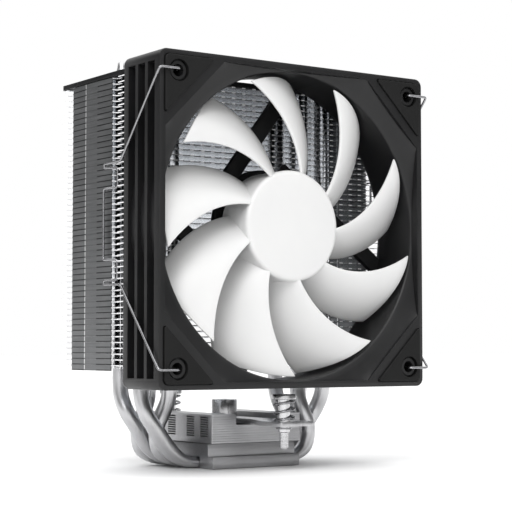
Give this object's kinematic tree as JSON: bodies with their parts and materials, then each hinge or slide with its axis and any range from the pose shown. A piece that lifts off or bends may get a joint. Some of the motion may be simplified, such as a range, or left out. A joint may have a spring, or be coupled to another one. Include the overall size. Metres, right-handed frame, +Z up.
{
  "type": "cpu tower cooler",
  "caption": "Tower cooler for a processor: aluminium fins on heat pipes with a black-framed fan clipped to the front.",
  "frame": {"origin": "centre of the base's contact face", "axes": "+Z up along the tower, -Y towards the fan's side, +X to the right seen from the fan"},
  "size_m": [0.123, 0.0968, 0.1555],
  "materials": {
    "frame_plastic": "satin",
    "pad_rubber": "matte",
    "blade_plastic": "satin",
    "bright_steel": "satin",
    "spring_steel": "polished",
    "ferrite": "matte",
    "sintered_bronze": "matte",
    "laminated_steel": "satin",
    "copper_winding": "satin",
    "circuit_board": "satin",
    "blank_label": "satin",
    "fin_aluminium": "satin",
    "black_aluminium": "satin",
    "nickelled_copper": "polished",
    "milled_aluminium": "satin"
  },
  "bodies": {
    "heatsink": {"bar_boss": "bright_steel", "base_block": "milled_aluminium", "base_sink": "milled_aluminium", "bearing_sleeve": "sintered_bronze", "coil_1": "copper_winding", "coil_2": "copper_winding", "coil_3": "copper_winding", "coil_4": "copper_winding", "crossbar": "bright_steel", "fan_frame": "frame_plastic", "fin_pack_lower": "fin_aluminium", "fin_pack_middle": "fin_aluminium", "fin_pack_upper": "fin_aluminium", "heat_pipe_1": "nickelled_copper", "heat_pipe_2": "nickelled_copper", "heat_pipe_3": "nickelled_copper", "heat_pipe_4": "nickelled_copper", "motor_board": "circuit_board", "pad_front_bl": "pad_rubber", "pad_front_br": "pad_rubber", "pad_front_tl": "pad_rubber", "pad_front_tr": "pad_rubber", "pad_rear_bl": "pad_rubber", "pad_rear_br": "pad_rubber", "pad_rear_tl": "pad_rubber", "pad_rear_tr": "pad_rubber", "rear_label": "blank_label", "spring_front": "spring_steel", "spring_rear": "spring_steel", "stator_core": "laminated_steel", "top_cover": "black_aluminium"},
    "rotor": {"impeller": "blade_plastic", "yoke_ring": "bright_steel", "rotor_magnet": "ferrite", "shaft": "bright_steel"},
    "screw_front_body": {"screw_front": "bright_steel", "retaining_ring_front": "spring_steel"},
    "screw_rear_body": {"screw_rear": "bright_steel", "retaining_ring_rear": "spring_steel"},
    "clip_left_body": {"clip_left": "spring_steel"},
    "clip_right_body": {"clip_right": "spring_steel"}
  },
  "joints": [
    {"name": "rotor_spin", "type": "hinge", "parent": "heatsink", "child": "rotor", "pos_m": [0, -0.037, 0.0905], "axis": [0, -1, 0], "continuous": true},
    {"name": "screw_front_press", "type": "slide", "parent": "heatsink", "child": "screw_front_body", "axis": [0, 0, -1], "range_m": [0, 0.0045], "stiffness_N_per_m": 4000, "springref_m": -0.0005, "deforming": ["spring_front"]},
    {"name": "screw_rear_press", "type": "slide", "parent": "heatsink", "child": "screw_rear_body", "axis": [0, 0, -1], "range_m": [0, 0.0045], "stiffness_N_per_m": 4000, "springref_m": -0.0005, "deforming": ["spring_rear"]},
    {"name": "clip_left_swing", "type": "hinge", "parent": "heatsink", "child": "clip_left_body", "pos_m": [-0.0525, -0.0485, 0.0905], "axis": [0, 0, 1], "range_deg": [0, 12], "stiffness_Nm_per_rad": 0.2, "springref_deg": -2.86},
    {"name": "clip_right_swing", "type": "hinge", "parent": "heatsink", "child": "clip_right_body", "pos_m": [0.0525, -0.0485, 0.0905], "axis": [0, 0, -1], "range_deg": [0, 12], "stiffness_Nm_per_rad": 0.2, "springref_deg": -2.86}
  ]
}
